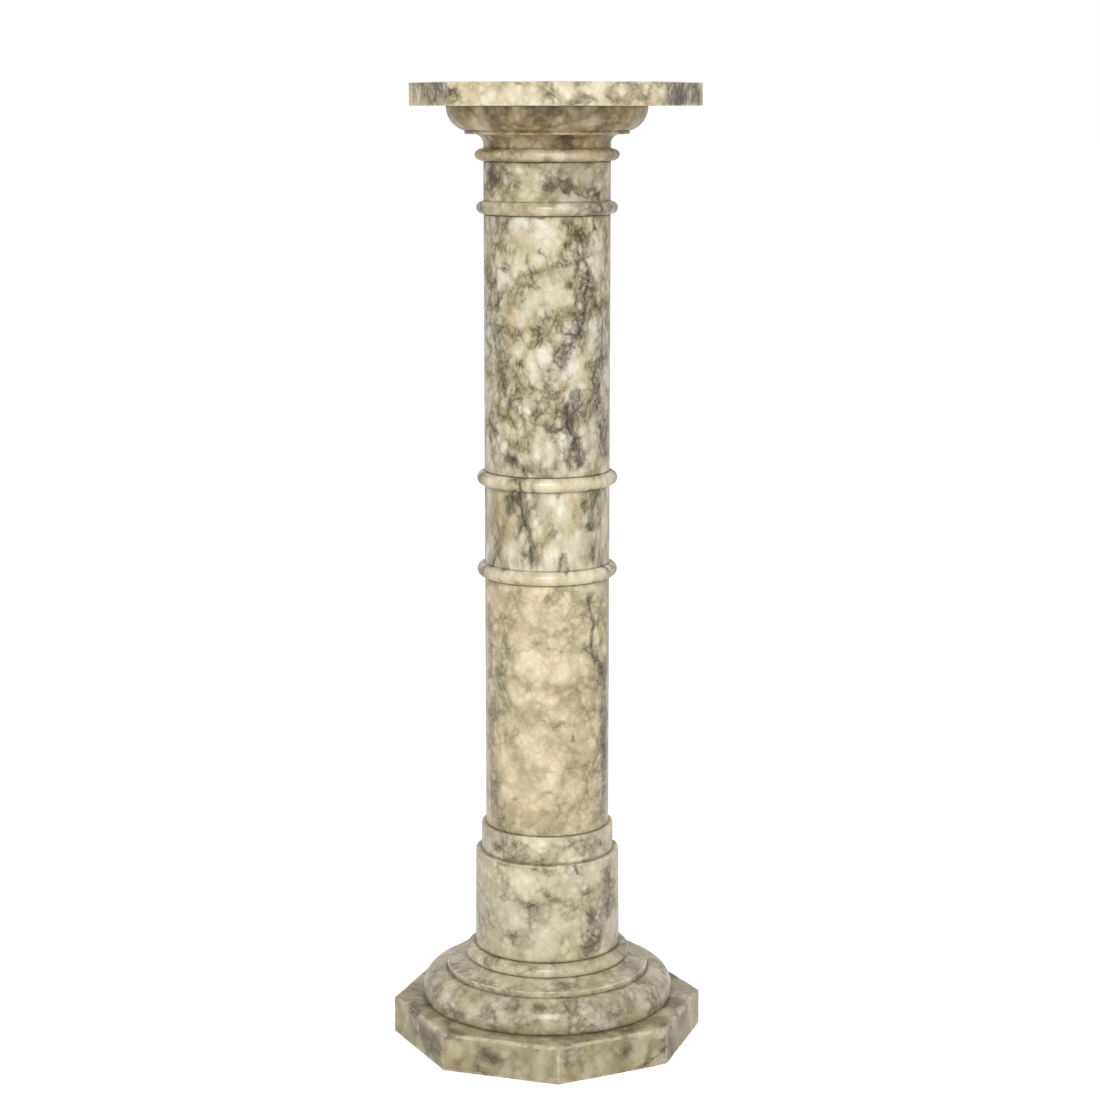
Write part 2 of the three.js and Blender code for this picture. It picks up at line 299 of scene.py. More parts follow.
def polishedMarble(node, changes):
    look = {**marble, **changes}
    material = bpy.data.materials.new("marble_polished_" + node)
    material.use_nodes = True
    material.node_tree.nodes.clear()
    add = partial(addNode, material.node_tree)

    metres = add("TexCoord", out="Object")
    place = add("VectorMath", {0: metres, "Scale": 1 / mm}, operation="SCALE")
    turn = [math.radians(angle) for angle in look["turn"]]
    block = add("Mapping", [place, look["shift"], turn, look["stretch"]])

    def stirred(start, steps):
        # the place moved about by soft noise: each step is (size of the swirl, how far it moves)
        for size, far in steps:
            swirl = add("TexNoise", {"Vector": start, "Scale": 1 / size, "Detail": 1.0}, out="Color")
            moved = add("VectorMath", [swirl, (2 * far,) * 3, start], operation="MULTIPLY_ADD")
            start = add("VectorMath", [moved, (far,) * 3], operation="SUBTRACT")
        return start

    drifted = stirred(block, look["drift"])
    crumb, speck, grain, clouds, knots = (
        add("TexNoise", {"Vector": start, "Scale": 1 / look[size], "Detail": detail, "Roughness": rough})
        for start, size, detail, rough in (
            (block, "crumb", 3.0, 0.6),
            (block, "speck", 3.0, 0.6),
            (place, "grain", 2.0, 0.6),
            (drifted, "cloud", 3.0, 0.55),
            (drifted, "knot", 4.0, 0.6),
        )
    )
    crumb = add("MapRange", [crumb, 0.3, 0.7])
    speck = add("MapRange", [speck, 0.32, 0.68])
    grain = add("MapRange", [grain, 0.35, 0.68], **softStep)

    # pale clots at three sizes
    clots = 0.0
    for size, weight in ((look["clot"] * 1.7, 0.34), (look["clot"], 0.36), (look["cell"], 0.3)):
        cells = {"Vector": drifted, "Scale": 1 / size, "Smoothness": 0.6, "Randomness": 1.0}
        away = add("TexVoronoi", cells, feature="SMOOTH_F1")
        clot = add("MapRange", [away, 0.62, 0.12, 0.0, weight], **softStep)
        clots = add("Math", [clots, clot])

    # thin lines: seams between cells, and cracks where a noise crosses its middle value
    wavy = stirred(drifted, look["waver"])
    lines = 0.0
    for size, wide, weight in look["seams"]:
        cells = {"Vector": wavy, "Scale": 1 / size, "Randomness": 1.0}
        away = add("TexVoronoi", cells, feature="DISTANCE_TO_EDGE")
        seam = add("MapRange", [away, wide / size, 0.0, 0.0, weight], **softStep)
        lines = add("Math", [lines, seam], operation="MAXIMUM")
    for size, wide, weight in look["cracks"]:
        away = add("TexNoise", {"Vector": wavy, "Scale": 1 / size, "Detail": 1.0, "Roughness": 0.5})
        away = add("Math", [away, 0.5], operation="SUBTRACT")
        away = add("Math", [away], operation="ABSOLUTE")
        crack = add("MapRange", [away, 0.22 * wide / size, 0.0, 0.0, weight], **softStep)
        lines = add("Math", [lines, crack], operation="MAXIMUM")
    gaps = add("MapRange", [speck, 0.1, 0.6, 0.45, 1.0], **softStep)
    lines = add("Math", [lines, gaps], operation="MULTIPLY")

    # the marks that lie in known places are those of the front; turned half round they serve the back too
    x, y, z = add("SeparateXYZ", [stirred(place, look["fray"])]).node.outputs
    depth = add("Math", [y], operation="ABSOLUTE")
    side = add("Math", [add("Math", [y], operation="SIGN"), -1.0], operation="MULTIPLY")
    across = add("Math", [x, side], operation="MULTIPLY")
    face = add("CombineXYZ", [across, depth, z])
    fade = add("MapRange", [depth, 2, 18], **softStep)
    kinds = ("patches", "pales", "stains")
    fields = [markField(add, face, look[kind], look["frontRadius"]) for kind in kinds]
    fields += veinField(add, across, z, look["veins"])
    patches, pales, stains, threads, band = (
        add("Math", [field, fade], operation="MULTIPLY") for field in fields
    )

    # how far the dark has spread: everywhere a little, more in knots and marks, hardly in the clots
    least, most = look["netShare"] - look["netSpread"], look["netShare"] + look["netSpread"]
    reach = add("MapRange", [knots, 0.3, 0.7, least, most])
    for part, weight in (
        (patches, look["markShare"]),
        (band, look["markShare"]),
        (pales, -look["paleClear"]),
        (clots, -look["netClear"]),
        (crumb, look["crumbShare"]),
        (speck, look["speckShare"]),
    ):
        reach = add("Math", [part, weight, reach], operation="MULTIPLY_ADD")
    mist = add("MapRange", [reach, -0.1, 1.3, 0.0, look["mistShare"]], **softStep)
    shown = add("MapRange", [reach, -0.1, 0.75, look["lineLeast"], look["lineShare"]], **softStep)
    lines = add("Math", [lines, shown], operation="MULTIPLY")
    massed = add("MapRange", [reach, 0.8, 1.7, 0.0, 0.8], **softStep)
    grit = add("MapRange", [speck, 0.1, 0.7, 0.5, 1.0], **softStep)
    threads = add("Math", [threads, grit], operation="MULTIPLY")
    core = add("Math", [lines, massed], operation="MAXIMUM")
    core = add("Math", [core, threads], operation="MAXIMUM")
    core = add("Math", [core, look["coreShare"]], operation="MULTIPLY")

    # cream against tan: each part's weight and the value it has on average
    warm = look["warmth"]
    for part, weight, middle in (
        (clots, look["clotShare"], 0.48),
        (clouds, look["cloudShare"], 0.5),
        (crumb, look["crumbShare"], 0.5),
        (grain, -look["grainShare"], 0.0),
    ):
        warm = add("Math", [warm, weight * middle], operation="SUBTRACT")
        warm = add("Math", [part, weight, warm], operation="MULTIPLY_ADD")
    colour = add("Mix", {0: warm, 6: look["tan"], 7: look["cream"]}, out=2, data_type="RGBA")

    greyed = add("MapRange", [clouds, 0.38, 0.64, 0.0, look["greyShare"]], **softStep)
    paled = add("Math", [pales, look["paleShare"]], operation="MULTIPLY")
    soaked = add("MapRange", [crumb, 0.0, 0.8, 0.5, 1.0], **softStep)
    stained = add("Math", [stains, soaked], operation="MULTIPLY")
    layers = [
        (greyed, look["grey"], "MULTIPLY"),
        (paled, look["pale"], "MIX"),
        (stained, look["stain"], "MULTIPLY"),
        (mist, look["mist"], "MULTIPLY"),
        (core, look["dark"], "MULTIPLY"),
    ]

    # painted shade with soil in the creases, where parts meet, under rings and under the slab, broken up by
    # the crumb; and pale arrises, partly rubbed wear and partly painted highlight
    roughness = look["roughness"]
    if look["creases"]:
        soilAndShade = ringField(add, place, look["creases"], look["soilAndShadeReach"])
        caught = add("MapRange", [crumb, 0.1, 0.9, look["soilAndShadeShare"] / 2, look["soilAndShadeShare"]], **softStep)
        soilAndShade = add("Math", [soilAndShade, caught], operation="MULTIPLY")
        layers.append((soilAndShade, look["soilAndShade"], "MIX"))
        roughness = add("MapRange", [soilAndShade, 0.0, 0.8, roughness, look["soilRoughness"]], **softStep)
    if look["rubbedHighlight"]:
        rubbedHighlight = ringField(add, place, look["rubbedHighlight"], look["rubbedHighlightReach"])
    else:
        rubbedHighlight = add("Attribute", out="Fac", attribute_name="rubbedHighlight")
    bare = add("MapRange", [crumb, 0.1, 0.9, 0.0, look["rubbedHighlightShare"]], **softStep)
    rubbedHighlight = add("Math", [rubbedHighlight, bare], operation="MULTIPLY")
    layers.append((rubbedHighlight, look["pale"], "MIX"))
    if look["broken"]:
        # broken faces are crystalline: dull, and pale and dark from grain to grain
        broken = add("Attribute", out="Fac", attribute_name="fracture")
        colours = {0: grain, 6: look["brokenDark"], 7: look["brokenPale"]}
        crystal = add("Mix", colours, out=2, data_type="RGBA")
        layers.append((add("Math", [broken, look["brokenShare"]], operation="MULTIPLY"), crystal, "MIX"))
        dull = add("Math", [broken, look["brokenRoughness"]], operation="MULTIPLY")
        roughness = add("Math", [roughness, dull], operation="MAXIMUM")
    for amount, over, blend in layers:
        under = {0: amount, 6: colour, 7: over}
        colour = add("Mix", under, out=2, data_type="RGBA", blend_type=blend)

    shader = add(
        "BsdfPrincipled",
        {
            "Base Color": colour,
            "Roughness": roughness,
            "IOR": 1.5,
            "Subsurface Weight": 0.12,
            "Subsurface Radius": (1.0, 0.8, 0.6),
            "Subsurface Scale": 0.005,
        },
    )
    add("OutputMaterial", {"Surface": shader})
    return material


# Shapes, in mm

turnSteps = 256
mergeReach = 0.01
sharpAngle = math.radians(25)  # a turned edge sharper than this gets an arris
rimAngle = math.radians(60)  # the rims of an octagon's beds are sharper, its rounded corners are not
softAngle = math.radians(32)  # an edge flatter than this is shaded smooth
bedArea = 1000  # square mm: a larger face is a bed
shortEdge = 10  # a shorter edge of an octagon belongs to a rounded corner
turnedReach = 1.2  # how far the wear of a turned arris goes, in widths of the arris
rimReach = 1.05  # the same for the rim of an octagon's bed
postReach = 1.3  # and for its upright corners, in widths of their rounding


def floorOf(node):
    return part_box(node)[0].z / mm


def heightOf(node):
    return (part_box(node)[1].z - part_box(node)[0].z) / mm


def arc(centre, reach, start, end, steps):
    # points of a round or elliptical arc in section, (radius, height), angles in degrees
    angles = [math.radians(start + (end - start) * i / steps) for i in range(steps + 1)]
    return [(centre[0] + reach[0] * math.cos(a), centre[1] + reach[1] * math.sin(a)) for a in angles]


def finishStone(node, shape, material):
    # the wide beds keep their own flat shading, and the arrises round them run soft
    bmesh.ops.remove_doubles(shape, verts=shape.verts, dist=mergeReach)
    bmesh.ops.recalc_face_normals(shape, faces=shape.faces)
    for edge in shape.edges:
        bed = any(face.calc_area() > bedArea for face in edge.link_faces)
        edge.smooth = edge.is_manifold and edge.calc_face_angle() < softAngle and not bed
    shape.transform(Matrix.Scale(mm, 4))
    mesh = bpy.data.meshes.new(node + "_stone")
    shape.to_mesh(mesh)
    shape.free()
    mesh.shade_smooth()
    mesh.materials.append(material)
    piece = bpy.data.objects.new(node + "_stone", mesh)
    bpy.context.scene.collection.objects.link(piece)
    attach(piece, "root")
    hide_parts(node)
    print("stone finished:", node, len(mesh.polygons), "faces")


def sharpRims(shape, least=sharpAngle):
    # the outward edges that are still as sharp as the tool left them
    return [e for e in shape.edges if e.is_manifold and e.calc_face_angle_signed() > least]


def openArris(point, corner, sizes):
    # moves a point of an arris away from its sharp corner, here and there, as wear and small chips do
    coarse, fine = sizes["wearSizes"]
    chip = noise.noise(corner / coarse) + 0.5 * noise.noise(corner / fine) - sizes["wearLeast"]
    return corner + (point - corner) * (1 + sizes["wear"] * min(max(chip, 0), 1))


def turnStone(node, outline, look, sizes):
    # spins the outline, which runs from the middle of the lower bed to the middle of the upper one,
    # and softens its arrises
    foot = floorOf(node)
    shape = bmesh.new()
    chain = [shape.verts.new((radius, 0, foot + height)) for radius, height in outline]
    edges = [shape.edges.new(pair) for pair in zip(chain, chain[1:])]
    bmesh.ops.spin(
        shape,
        geom=chain + edges,
        cent=(0, 0, 0),
        axis=(0, 0, 1),
        angle=math.tau,
        steps=turnSteps,
        use_merge=True,
    )
    bmesh.ops.remove_doubles(shape, verts=shape.verts, dist=mergeReach)
    bmesh.ops.recalc_face_normals(shape, faces=shape.faces)
    bmesh.ops.bevel(
        shape,
        geom=sharpRims(shape),
        affect="EDGES",
        offset=sizes["arris"],
        segments=3,
        profile=0.5,
        material=-1,
        clamp_overlap=True,
    )
    raised = {
        key: [(radius, foot + height) for radius, height in look.get(key, ())]
        for key in ("creases", "rubbedHighlight")
    }
    for radius, height in raised["rubbedHighlight"]:
        for vert in shape.verts:
            flat = Vector((vert.co.x, vert.co.y, 0))
            if flat.length < 1:
                continue
            corner = flat.normalized() * radius + Vector((0, 0, height))
            if (vert.co - corner).length < turnedReach * sizes["arris"]:
                vert.co = openArris(vert.co, corner, sizes)
    finishStone(node, shape, polishedMarble(node, {**look, **raised}))


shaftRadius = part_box("lower_shaft")[1].x / mm

# Lower shaft: a plain drum of warm cream stone, softly clotted
lowerShaft = {
    "arris": 0.5,
    "look": {
        "shift": (40, 10, 0),
        "turn": (15, 0, 30),
        "cream": "#F2E2BF",
        "tan": "#C0B18D",
        "warmth": 0.74,
        "markShare": 0.75,
        "greyShare": 0.3,
        "clotShare": 1.25,
        "cloudShare": 1.5,
        "netShare": -0.01,
        "netSpread": 0.25,
        "lineShare": 0.75,
        "lineLeast": 0.22,
        "clot": 24,
        "cell": 10,
        "seams": ((26, 2.4, 0.9), (12, 1.6, 0.65)),
        "cracks": ((22, 3.4, 0.6),),
        "crumb": 12,
        "pale": "#F8EBC8",
        "veins": [
            (
                [(46, 512), (45, 491), (51, 475), (48, 462), (48, 444), (56, 430), (60, 413), (62, 393)],
                4.0,
                0.95,
            ),
            ([(61, 400), (59, 374), (61, 347), (61, 319), (62, 290), (59, 275), (61, 250)], 5.0, 0.8),
            ([(-51, 490), (-47, 469), (-44, 451), (-48, 433), (-51, 417), (-49, 402), (-45, 388)], 2.6, 0.5),
            ([(-60, 443), (-58, 399), (-56, 367), (-52, 345), (-49, 325)], 2.4, 0.5),
            ([(-58, 310), (-56, 299), (-55, 277), (-52, 248)], 2.8, 0.5),
        ],
        "patches": [
            (6, 502, 13, 13, 0.6), (-9, 458, 7, 4, 0.7), (8, 451, 9, 3, 0.75),
            (20, 450, 6, 3, 0.6), (-28, 515, 4, 5, 0.6), (14, 368, 10, 7, 0.7),
            (27, 353, 5, 7, 0.8), (-3, 374, 4, 3, 0.6), (-45, 357, 5, 6, 0.6),
            (-35, 283, 6, 3, 0.6), (34, 251, 3, 4, 0.9), (43, 289, 3, 5, 0.6),
            # the long patches along the left and right edges darken the drum's sides: vertical streaks of the
            # stone and painted shade where it turns from the light
            (-62, 400, 9, 100, 0.5), (-60, 285, 8, 40, 0.5), (63, 350, 8, 110, 0.5),
            (0, 505, 46, 14, 0.3),
        ],
        "stains": [
            (-34, 470, 20, 24, 0.2), (20, 400, 22, 18, 0.2), (24, 330, 22, 24, 0.2),
            (-20, 275, 24, 20, 0.2),
        ],
        "pales": [
            (-18, 490, 8, 10, 0.5), (13, 476, 7, 7, 0.5), (-18, 440, 11, 10, 0.75),
            (-28, 429, 8, 10, 0.7), (-8, 423, 12, 12, 0.85), (18, 427, 9, 10, 0.7),
            (42, 425, 7, 8, 0.5), (-9, 400, 11, 9, 0.8), (5, 394, 8, 7, 0.7),
            (-24, 352, 10, 14, 0.7), (-14, 334, 12, 10, 0.75), (-2, 301, 11, 9, 0.75),
            (7, 312, 8, 9, 0.6), (21, 295, 9, 9, 0.6), (47, 318, 6, 7, 0.5),
            (-36, 312, 8, 12, 0.5),
        ],
    },
}


def makeDrum(node, sizes):
    height = heightOf(node)
    outline = [(0, 0), (shaftRadius, 0), (shaftRadius, height), (0, height)]
    look = {"creases": [(shaftRadius, 0), (shaftRadius, height)], **sizes["look"]}
    turnStone(node, outline, look, sizes)


# Upper shaft: the busiest stone, grey clouds and a strong net with veins down its right side
upperShaft = {
    "arris": 0.5,
    "look": {
        "shift": (170, 20, 80),
        "turn": (0, 20, 20),
        "stretch": (1, 1, 0.75),
        "clot": 19,
        "seams": ((19, 2.4, 0.9), (8, 1.4, 0.75)),
        "lineLeast": 0.16,
        "tan": "#C6B893",
        "warmth": 0.64,
        "greyShare": 0.45,
        "netShare": 0.11,
        "netSpread": 0.24,
        "markShare": 0.72,
        "lineShare": 1.1,
        "veins": [
            (
                [
                    (20, 913), (29, 898), (36, 883), (40, 866), (44, 852), (41, 836),
                    (40, 822), (38, 808), (33, 792), (27, 780), (18, 760),
                ],
                4.0,
                0.95,
            ),
            ([(33, 732), (23, 716), (21, 702), (25, 684), (31, 673), (35, 657), (32, 645)], 4.2, 0.95),
            ([(-58, 860), (-56, 834), (-54, 823), (-50, 810)], 2.4, 0.6),
            ([(55, 827), (58, 797), (58, 775), (56, 753), (53, 733), (51, 718), (46, 700)], 2.8, 0.7),
            ([(56, 697), (60, 679), (63, 655)], 3.0, 0.6),
            ([(-54, 798), (-51, 776), (-50, 758), (-47, 738), (-45, 723), (-37, 711), (-29, 700)], 2.4, 0.65),
            ([(6, 753), (2, 739), (-3, 726)], 2.4, 0.6),
            ([(-58, 694), (-55, 677), (-50, 666), (-38, 654), (-27, 644)], 3.0, 0.6),
        ],
        "patches": [
            (26, 783, 10, 12, 0.85), (17, 762, 11, 15, 1.0), (-11, 783, 9, 16, 0.8),
            (-30, 759, 9, 6, 0.8), (-33, 722, 9, 16, 0.75), (-12, 707, 9, 9, 0.9),
            (23, 701, 7, 16, 1.0), (30, 722, 9, 14, 0.75), (-55, 682, 6, 10, 0.8),
            (-38, 655, 9, 6, 0.8), (-21, 644, 9, 6, 1.0), (34, 654, 6, 7, 0.9),
            (-2, 808, 6, 6, 0.8), (-12, 794, 8, 6, 0.8), (52, 816, 5, 8, 0.7),
            (-7, 911, 6, 2.5, 0.9), (49, 899, 3, 5, 0.7), (49, 885, 4, 6, 0.6),
            (14, 861, 9, 4, 0.75), (-22, 840, 6, 3, 0.8), (-25, 825, 5, 4, 0.7),
            (20, 884, 8, 5, 0.7), (-42, 902, 5, 9, 0.55), (6, 690, 9, 5, 0.75),
            (38, 805, 6, 20, 0.6), (-36, 876, 7, 6, 0.7), (-8, 874, 6, 5, 0.75),
            (-18, 896, 5, 4, 0.7), (-46, 858, 5, 9, 0.6), (24, 842, 6, 7, 0.5),
            # the last two patches on the next line darken the left and right edges: vertical streaks and
            # painted shade where the drum turns from the light
            (-5, 700, 60, 55, 0.3), (-62, 790, 12, 120, 0.45), (62, 860, 8, 50, 0.3),
        ],
        "stains": [
            (-42, 800, 16, 34, 0.4), (-30, 880, 26, 24, 0.4), (8, 888, 14, 12, 0.35),
            (34, 898, 16, 14, 0.5), (-4, 742, 12, 16, 0.3), (44, 744, 14, 24, 0.4),
            (-44, 700, 12, 26, 0.5), (12, 806, 12, 10, 0.3),
        ],
        "pales": [
            (6, 828, 17, 14, 0.75), (-22, 846, 7, 8, 0.35), (4, 658, 11, 15, 0.6),
            (-29, 660, 7, 6, 0.55), (-33, 684, 10, 11, 0.45), (39, 684, 8, 12, 0.5),
            (-2, 885, 9, 9, 0.35), (-28, 888, 9, 9, 0.35), (40, 765, 7, 9, 0.4),
            (8, 734, 6, 8, 0.4), (10, 862, 10, 8, 0.3), (-30, 805, 10, 12, 0.3),
            (-36, 770, 7, 10, 0.3),
        ],
    },
}

# Middle band: a ring, a drum and a second ring in one stone, its pattern drawn out upwards
middleBand = {
    "arris": 0.5,
    "ringHeight": 15.1,
    "ringReach": 8.4,
    "look": {
        "shift": (10, 0, 90),
        "stretch": (1, 1, 0.5),
        "pale": "#FBF1D6",
        "tan": "#C3B590",
        "warmth": 0.6,
        "greyShare": 0.35,
        "stains": [
            (-50, 580, 14, 40, 0.5), (28, 600, 8, 30, 0.4), (0, 629, 80, 9, 0.35),
            (0, 528, 80, 8, 0.35),
        ],
        "netShare": 0.11,
        "markShare": 0.85,
        "veins": [
            ([(-28, 640), (-29, 623), (-28, 604), (-22, 586), (-18, 565), (-16, 536)], 4.0, 0.95),
            ([(17, 556), (15, 545), (14, 536)], 3.0, 0.8),
            ([(46, 624), (48, 600), (50, 575)], 2.6, 0.6),
        ],
        "patches": [
            (-40, 605, 12, 12, 1.1), (-34, 616, 8, 6, 0.8), (40, 604, 6, 14, 0.8),
            (46, 581, 9, 6, 0.7), (6, 577, 6, 6, 0.7), (-57, 628, 2, 8, 0.7),
            (13, 620, 2.5, 5, 0.6), (58, 628, 3, 8, 0.6), (-13, 529, 10, 9, 0.7),
            (21, 526, 3, 8, 0.75), (-42, 532, 9, 8, 0.45), (-33, 585, 6, 5, 0.6),
        ],
        "pales": [
            (0, 629, 80, 9, 0.7), (0, 528, 80, 8, 0.55), (5, 612, 10, 6, 0.4),
            (48, 532, 16, 8, 0.5), (4, 528, 9, 8, 0.5), (22, 600, 5, 30, 0.35),
            (-32, 560, 9, 14, 0.35), (2, 555, 10, 15, 0.3),
        ],
    },
}


def makeRing(foot, sizes):
    centre = (shaftRadius, foot + sizes["ringHeight"] / 2)
    return arc(centre, (sizes["ringReach"], sizes["ringHeight"] / 2), -90, 90, 20)


def makeMiddleBand(node, sizes):
    height = heightOf(node)
    upperFoot = height - sizes["ringHeight"]
    outline = [(0, 0)] + makeRing(0, sizes) + makeRing(upperFoot, sizes) + [(0, height)]
    creases = [(shaftRadius, level) for level in (0, sizes["ringHeight"], upperFoot, height)]
    turnStone(node, outline, {"creases": creases, **sizes["look"]}, sizes)


# Necking: a drum over one ring
necking = {
    "arris": 0.5,
    "ringHeight": 13.9,
    "ringReach": 7.9,
    "look": {
        "shift": (0, 30, 10),
        "turn": (0, 30, 0),
        "warmth": 0.5,
        "greyShare": 0.7,
        "netShare": 0.11,
        "markShare": 0.85,
        "veins": [([(18, 952), (20, 949), (26, 940), (36, 931)], 3.0, 0.7)],
        "patches": [
            (-58, 948, 12, 22, 1.5), (0, 941, 10, 4, 0.75), (24, 940, 9, 5, 0.9),
            (47, 939, 11, 4, 0.9), (-33, 944, 4, 4, 0.6), (52, 932, 9, 5, 0.7),
            (39, 922, 9, 4, 0.7), (13, 920, 8, 3, 0.6),
        ],
        "pales": [(-24, 955, 10, 10, 0.3), (-5, 920, 14, 6, 0.45), (40, 957, 12, 8, 0.25)],
    },
}


def makeNecking(node, sizes):
    height = heightOf(node)
    outline = [(0, 0)] + makeRing(0, sizes) + [(shaftRadius, height), (0, height)]
    creases = [(shaftRadius, level) for level in (0, sizes["ringHeight"], height)]
    turnStone(node, outline, {"creases": creases, **sizes["look"]}, sizes)


# Capital: torus, cavetto, fillet and ovolo in one stone of browner tone
capital = {
    "arris": 0.5,
    "wear": 1.2,
    "wearLeast": 0.1,
    "wearSizes": (14, 5),
    "ringHeight": 13.5,
    "ringReach": 9.5,
    "neckHeight": 4.3,
    "cavetto": 10.5,
    "filletHeight": 3.8,
    "filletInset": 1,
    "ovolo": 26.5,
    "ovoloOut": 2.5,
    "ovoloUndercut": 1.2,
    "look": {
        "shift": (60, 0, 0),
        "turn": (60, 0, 0),
        "tan": "#B59C70",
        "cream": "#E8D9B6",
        "warmth": 0.5,
        "greyShare": 0.75,
        "netShare": 0.29,
        "netSpread": 0.55,
        "lineShare": 0.7,
        "frontRadius": 90,
        "pales": [(0, 975, 90, 8, 0.7), (40, 1008, 20, 8, 0.3), (-64, 1008, 14, 12, 0.3)],
        "patches": [
            (-38, 992, 20, 6, 0.9), (-30, 999, 10, 4, 0.9), (10, 1016, 20, 6, 0.6),
            (25, 990, 20, 6, 0.5), (60, 1008, 16, 10, 0.8), (-60, 1011, 6, 8, 0.5),
        ],
    },
}


def makeCapital(node, sizes):
    cavettoFoot = sizes["ringHeight"] + sizes["neckHeight"]
    filletFoot = cavettoFoot + sizes["cavetto"]
    ovoloFoot = filletFoot + sizes["filletHeight"]
    height = ovoloFoot + sizes["ovolo"] - sizes["ovoloUndercut"]
    cavettoTop = shaftRadius + sizes["cavetto"]
    ovoloCentre = cavettoTop + sizes["ovoloOut"]
    start = -math.degrees(math.asin(1 - sizes["ovoloUndercut"] / sizes["ovolo"]))
    ovolo = arc((ovoloCentre, height), (sizes["ovolo"],) * 2, start, 0, 24)
    filletRadius = ovolo[0][0] - sizes["filletInset"]
    outline = [(0, 0)] + makeRing(0, sizes)
    outline += arc((cavettoTop, cavettoFoot), (sizes["cavetto"],) * 2, 180, 90, 12)
    outline += [(filletRadius, filletFoot), (filletRadius, ovoloFoot)] + ovolo + [(0, height)]
    # the last crease, at the top of the ovolo, lays painted shadow with soil under the slab
    creases = [(shaftRadius, 0), (shaftRadius, sizes["ringHeight"]), (filletRadius, ovoloFoot), ovolo[-1]]
    # the fillet's lower arris is painted pale: rubbed wear and painted highlight
    rubbedHighlight = [(filletRadius, filletFoot)]
    look = {"creases": creases, "rubbedHighlight": rubbedHighlight, **sizes["look"]}
    turnStone(node, outline, look, sizes)


# Socle: a wide drum with a narrower collar, which leaves a ledge whose arris is painted pale, as rubbed wear
# and painted highlight
socle = {
    "arris": 1.2,
    "wear": 1.6,  # how far the worn arris opens out, as a share of its own size
    "wearLeast": -0.1,  # a higher value leaves more of the arris whole
    "wearSizes": (12, 4),  # mm, along the arris
    "collarStep": 4.8,
    "collarHeight": 30.1,
    "ledgeStep": 6.5,
    "taper": 0.9,
    "look": {
        "shift": (0, 0, 140),
        "turn": (30, 0, 120),
        "soilAndShadeReach": 4.0,
        "soilAndShadeShare": 0.65,
        "warmth": 0.62,
        "greyShare": 0.7,
        "clot": 27,
        "knot": 34,
        "tan": "#C9BD9E",
        "cream": "#F3E8CE",
        "netShare": -0.01,
        "lineShare": 0.9,
        "markShare": 0.75,
        "frontRadius": 80,
        "veins": [
            ([(66, 202), (67, 176), (66, 142)], 2.6, 0.7),
            ([(29, 214), (30, 210), (34, 201)], 2.6, 0.8),
        ],
        "patches": [
            (-46, 172, 12, 5, 0.7), (-19, 169, 12, 5, 0.8), (-38, 128, 14, 14, 0.7),
            (12, 175, 5, 5, 0.6), (45, 180, 10, 8, 0.85), (48, 150, 8, 20, 0.8),
            (50, 120, 16, 14, 0.9), (-15, 211, 5, 4, 0.8), (-8, 232, 7, 7, 0.8),
            (41, 234, 6, 8, 1.1), (-60, 226, 14, 8, 0.7), (0, 230, 70, 13, 0.35),
            (60, 226, 12, 10, 0.7), (-28, 234, 5, 6, 0.5), (-2, 216, 12, 5, 0.6),
            (-45, 215, 16, 6, 0.6),
        ],
        "pales": [
            (-2, 128, 16, 22, 0.6), (14, 150, 14, 16, 0.5), (-28, 193, 16, 12, 0.4),
            (0, 196, 16, 10, 0.4), (-36, 150, 8, 12, 0.35),
        ],
    },
}


def makeSocle(node, sizes):
    height = heightOf(node)
    ledge = height - sizes["collarHeight"]
    collarRadius = shaftRadius + sizes["collarStep"]
    topRadius = collarRadius + sizes["ledgeStep"]
    footRadius = topRadius + sizes["taper"]
    outline = [(0, 0), (footRadius, 0), (topRadius, ledge), (collarRadius, ledge)]
    outline += [(collarRadius, height), (0, height)]
    creases = [(footRadius, 0), (collarRadius, ledge), (shaftRadius, height)]
    look = {"creases": creases, "rubbedHighlight": [(topRadius, ledge)], **sizes["look"]}
    turnStone(node, outline, look, sizes)


# Base moulding: torus, fillet, hollow slope and bead in one stone
baseMoulding = {
    "arris": 0.7,
    "wear": 2.2,
    "wearLeast": 0.0,
    "wearSizes": (12, 4),
    "torus": 22.6,
    "torusCentre": 10.8,
    "torusInset": 4.6,
    "filletHeight": 7,
    "scotiaRun": 27,
    "scotiaRise": 7.3,
    "scotiaHollow": 1.6,
    "scotiaSteps": 12,
    "bead": 6.2,
    "beadRise": 8.1,
    "beadStandOff": 4.9,
    "look": {
        "shift": (0, 120, 60),
        "turn": (0, 50, 15),
        "clot": 26,
        "tan": "#BFB394",
        "cream": "#EBE1C8",
        "warmth": 0.5,
        "greyShare": 0.75,
        "netShare": 0.16,
        "netSpread": 0.6,
        "lineShare": 0.65,
        "markShare": 0.8,
        "rubbedHighlightShare": 0.8,
        "soilAndShadeReach": 4.0,
        "soilAndShadeShare": 0.7,
        "frontRadius": 132,
        "stains": [
            (-80, 72, 26, 10, 0.5), (20, 86, 30, 8, 0.5), (90, 52, 20, 12, 0.4),
            (-20, 52, 24, 8, 0.4), (56, 92, 20, 8, 0.4),
        ],
        "pales": [
            (0, 93, 150, 8, 0.6), (-50, 60, 16, 10, 0.4), (0, 58, 12, 9, 0.4),
            (100, 60, 14, 10, 0.3), (-118, 46, 16, 9, 0.4),
        ],
        "patches": [
            (-58, 97, 14, 7, 0.9), (-22, 97, 7, 5, 0.5), (38, 97, 8, 6, 0.6),
            (64, 97, 12, 7, 1.0), (34, 50, 22, 10, 1.2), (-100, 52, 18, 9, 1.2),
            (-8, 72, 10, 5, 1.0), (112, 60, 10, 14, 0.6), (-60, 62, 20, 8, 0.6),
            (79, 62, 16, 10, 0.6), (-40, 69, 12, 6, 0.5), (-30, 84, 14, 4, 0.6),
            (18, 84, 3, 10, 0.6),
        ],
    },
}


